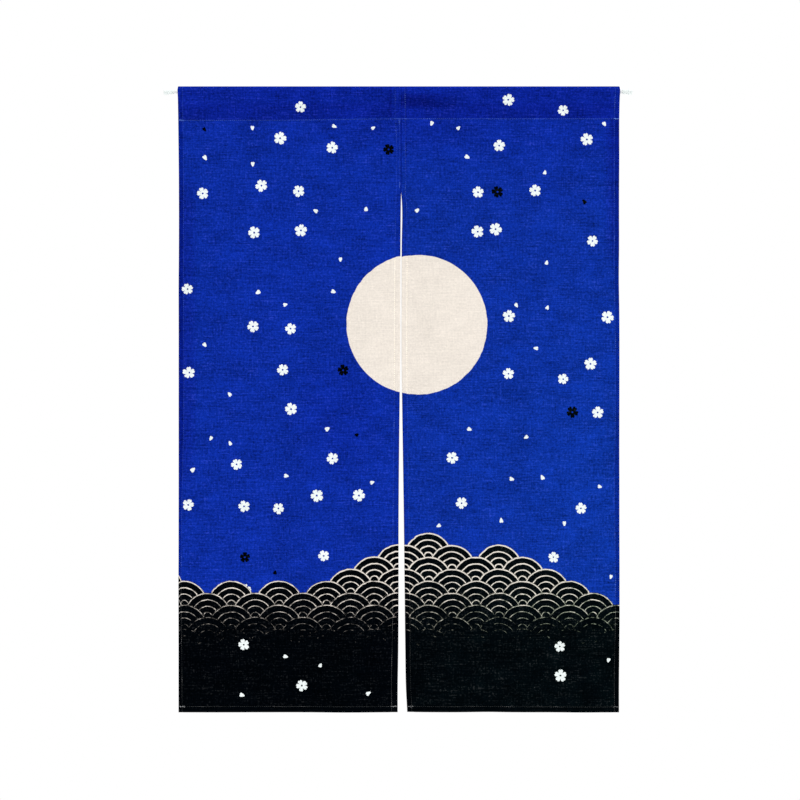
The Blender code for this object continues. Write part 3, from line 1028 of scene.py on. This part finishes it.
def cloth_material(name, printed_side):
    """Slubby plain-weave cloth, with painted shade between its yarns and painted shade and sheen on its
    dark inks. The reverse shows the print paler, through the weave.
    """
    made, shader = new_material(name)
    across, up = cloth_place(made)
    colour = print_colour(across, up)
    _, green, blue = colour.split("Color")
    pale, on_blue = green.ramp(0.10, 0.60), blue.ramp(0.02, 0.20)
    right = across > 0.0
    # painted shade and painted sheen on the dark inks
    tone_and_painted_shade, painted_sheen, fibres = painted_shade_sheen_and_fibres(across, up, right)
    colour = colour.blend("MULTIPLY", pale.paint(WHITE, tone_and_painted_shade)).blend("ADD", painted_sheen)

    yarns, on_top, height = weave(across, up)
    if not printed_side:
        shown = yarns * (REVERSE_PALE * 0.6) + REVERSE_PALE
        colour = shown.most(0.0).paint(UNPRINTED, colour)
    dye = clouds(across * 16.0, up * 22.0, 3.0, 0.6)
    varied = (on_top + dye * DYE_MOTTLE) * pale.ramp(0.0, 1.0, 1.0, 0.19)
    # painted shade in the gaps between yarns
    gap_shade = (height - MEAN_HEIGHT) * pale.ramp(0.0, 1.0, YARN_GAP_SHADE, YARN_GAP_SHADE * 0.5)
    tone_and_painted_shade = (varied + 1.0 + gap_shade).most(0.25)
    toned = colour.to("VectorMath", {0: colour, 3: tone_and_painted_shade}, operation="SCALE")
    # lint specks, stronger on the right panel's ink as painted sheen
    strength = (right * (1.0 - on_blue)).pick(LINT_AND_SHEEN_RIGHT, LINT)
    lint = (yarns - LINT_FROM).most(0.0) * strength * fibres
    linty = toned.to("VectorMath", (toned, vector(lint, lint, lint)), operation="ADD")
    fill(shader, {
        "Base Color": linty,
        "Normal": (height + yarns).bump(0.35, 0.0003),
        "Roughness": yarns.ramp(-0.5, 0.5, 0.95, 0.82),
        "Specular IOR Level": 0.0,
        "Sheen Weight": 0.004,
        "Sheen Roughness": 0.5,
    })
    return made


def thread_material():
    """Fine thread that took the print as the cloth did, and stands out paler where it is sewn over."""
    made, shader = new_material("sewing_thread")
    across, up = cloth_place(made)
    colour = print_colour(across, up)
    wear = clouds(across * 26.0, up * 26.0, 4.0, 0.65)
    dull = wear.ramp(-0.10, 0.14).paint(THREAD_PALE, THREAD_DULL)
    dull = wear.ramp(0.11, 0.20).paint(THREAD_BRIGHT, dull)
    blue = colour.split("Color")[2].ramp(0.02, 0.25)
    over = add(made.node_tree, "Attribute", output="Fac", attribute_name="sewn_over")
    added = over.paint(THREAD_SEWN_OVER, dull).blend("MULTIPLY", blue.paint(THREAD_ON_BLUE, WHITE))
    colour = colour.blend("MULTIPLY", THREAD_TINT).blend("ADD", added)
    fill(shader, {"Base Color": colour, "Roughness": 0.7, "Specular IOR Level": 0.1})
    return made


# A hard white surface: two mottled colours, their lumps a metre and detail, the range of its
# roughness, and its bump's strength and depth
Finish = namedtuple("Finish", "name light dark lumps detail smooth rough strength depth")
COATED_STEEL = Finish(
    "white_coated_tube", srgb(250, 251, 250), srgb(241, 245, 243), 260.0, 3.0, 0.24, 0.36, 0.08, 0.0001
)
RUBBER = Finish(
    "white_rubber", srgb(246, 252, 250), srgb(236, 245, 242), 420.0, 4.0, 0.48, 0.62, 0.15, 0.0002
)


def mottle(material, lumps, detail):
    place = add(material.node_tree, "TexCoord", output="Object")
    return place.to("TexNoise", {"Vector": place, "Scale": lumps, "Detail": detail})


def hard_material(finish):
    made, shader = new_material(finish.name)
    mottled = mottle(made, finish.lumps, finish.detail)
    fill(shader, {
        "Base Color": mottled.paint(finish.light, finish.dark),
        "Roughness": mottled.ramp(0.3, 0.7, finish.smooth, finish.rough),
        "Normal": mottled.bump(finish.strength, finish.depth),
    })
    return made


# ---- the rod and its caps

ROUND = 72
ROD_WALL = 0.0006
SOCKET_GAP = 0.0001
CAP_GROOVE = 0.0003  # the depth of the ring in the foot, and of the hollow in its face
CAP_ROUND = 0.0006  # rounding of the cap's corners


def rounded(profile, radius, steps=3):
    """The profile with its inner corners replaced by short arcs of this radius."""
    points = [profile[0]]
    for before, corner, after in zip(profile, profile[1:], profile[2:]):
        here = Vector(corner)
        to_before, to_after = Vector(before) - here, Vector(after) - here
        cut = min(radius, to_before.length * 0.45, to_after.length * 0.45)
        start, end = here + to_before.normalized() * cut, here + to_after.normalized() * cut
        for step in range(steps + 1):
            share = step / steps
            points.append(tuple((1 - share) ** 2 * start + 2 * share * (1 - share) * here + share**2 * end))
    return [*points, profile[-1]]


def add_turned(name, profile, origin_x, inwards, node, material):
    """A profile of (distance along X, radius) turned about the rod's axis.

    It ends where it began, or on the axis.
    """
    shape = bmesh.new()
    points = [shape.verts.new((origin_x + inwards * along, 0.0, radius)) for along, radius in profile]
    edges = [shape.edges.new(pair) for pair in zip(points, points[1:])]
    bmesh.ops.spin(
        shape, geom=points + edges, cent=(0, 0, 0), axis=(1, 0, 0),
        angle=2 * math.pi, steps=ROUND, use_duplicate=False, use_merge=True,
    )
    bmesh.ops.remove_doubles(shape, verts=shape.verts, dist=0.000005)
    bmesh.ops.recalc_face_normals(shape, faces=shape.faces)
    made = add_mesh(name, finished(shape, name), material)
    made.data.shade_smooth()
    made.data.set_sharp_from_angle(angle=math.radians(35))
    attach(made, "root")
    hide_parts(node)
    return made


def build_cap(name, face_x, inwards, node, material):
    """Stepped rubber cap: a wide foot with a shallow ring, a collar, and a thin lip round the rod."""
    cap_radius = (CAP_LEFT_HIGH.z - CAP_LEFT_LOW.z) / 2
    length = CAP_LEFT_HIGH.x - CAP_LEFT_LOW.x
    socket = ROD_RADIUS + SOCKET_GAP
    foot, collar, floor = length * 0.40, length * 0.80, length * 0.24
    profile = [
        (CAP_GROOVE, 0.0), (CAP_GROOVE, cap_radius * 0.62), (0.0, cap_radius * 0.68), (0.0, cap_radius),
        (length * 0.19, cap_radius), (length * 0.22, cap_radius - CAP_GROOVE), (length * 0.25, cap_radius),
        (foot, cap_radius), (foot, cap_radius - 0.0009), (collar, cap_radius - 0.0011),
        (length * 0.81, ROD_RADIUS + 0.0010), (length, ROD_RADIUS + 0.0008),
        (length, socket), (floor, socket), (floor, 0.0),
    ]
    return add_turned(name, rounded(profile, CAP_ROUND), face_x, inwards, node, material)


def build_rod(material):
    """The plain coated tube, with its ends inside the caps."""
    inner = ROD_RADIUS - ROD_WALL
    length = ROD_HIGH.x - ROD_LOW.x
    profile = [(0.0, inner), (0.0, ROD_RADIUS), (length, ROD_RADIUS), (length, inner), (0.0, inner)]
    return add_turned("rod_tube", profile, ROD_LOW.x, 1, "rod", material)


# ---- light, floor and camera

VIEW_WIDTH = 1.540  # what the picture's width takes in at the cloth
VIEW_CENTRE = Vector((0.0022, 0.0, -0.5964))
LENS = 85.0
FLOOR_Z = -2.05
FLOOR_RADIUS = 3.0
SKY = 0.20  # the studio's brightness overhead, where its horizon has 1
GROUND = 0.60


def set_world():
    """Plain white round the horizon, and dimmer above and below it."""
    world = bpy.data.worlds.new("studio")
    bpy.context.scene.world = world
    world.use_nodes = True
    height = add(world.node_tree, "TexCoord", output="Generated").split("XYZ")[2]
    above = height.ramp(0.23, 0.50, 0.0, 1 - SKY)
    below = height.ramp(-0.36, -0.60, 0.0, 1 - GROUND)
    fill(world.node_tree.nodes["Background"], {0: WHITE, 1: 1.0 - above - below})


def add_sun(name, azimuth, elevation, strength, softness):
    """A soft light from far away. Azimuth is to the right of the view that faces the print."""
    lamp = bpy.data.lights.new(name, "SUN")
    lamp.energy = strength
    lamp.angle = math.radians(softness)
    made = bpy.data.objects.new(name, lamp)
    made.rotation_euler = (math.radians(90 - elevation), 0.0, math.radians(azimuth))
    bpy.context.scene.collection.objects.link(made)


def add_floor():
    made, shader = new_material("pale_floor")
    colour = mottle(made, 1.5, 3.0).paint(srgb(240, 240, 240), srgb(235, 235, 235))
    fill(shader, {"Base Color": colour, "Roughness": 0.8})
    shape = bmesh.new()
    bmesh.ops.create_circle(shape, cap_ends=True, segments=96, radius=FLOOR_RADIUS)
    floor = add_mesh("floor", finished(shape, "floor"), made)
    floor.location.z = FLOOR_Z


def add_camera():
    data = bpy.data.cameras.new("camera")
    data.lens = LENS
    camera = bpy.data.objects.new("camera", data)
    bpy.context.scene.collection.objects.link(camera)
    distance = VIEW_WIDTH * LENS / data.sensor_width
    camera.location = VIEW_CENTRE - Vector((0.0, distance, 0.0))
    camera.rotation_euler = (math.pi / 2, 0.0, 0.0)
    bpy.context.scene.camera = camera


# ---- the whole

face = cloth_material("printed_cloth", printed_side=True)
reverse = cloth_material("cloth_reverse", printed_side=False)
thread = thread_material()
built = []
for panel in PANELS:
    surface, marks = build_panel(panel, face, reverse)
    sew_panel(panel, surface, marks, thread)
    built.append(surface)
sew_seam(*built, marks, thread)
build_rod(hard_material(COATED_STEEL))
rubber = hard_material(RUBBER)
build_cap("cap_left_rubber", CAP_LEFT_LOW.x, 1, "cap_left", rubber)
build_cap("cap_right_rubber", CAP_RIGHT_HIGH.x, -1, "cap_right", rubber)

set_world()
add_sun("key", azimuth=35, elevation=57, strength=3.1, softness=12)
add_sun("fill", azimuth=215, elevation=35, strength=0.9, softness=40)
add_floor()
add_camera()
bpy.context.scene.view_settings.view_transform = "Standard"
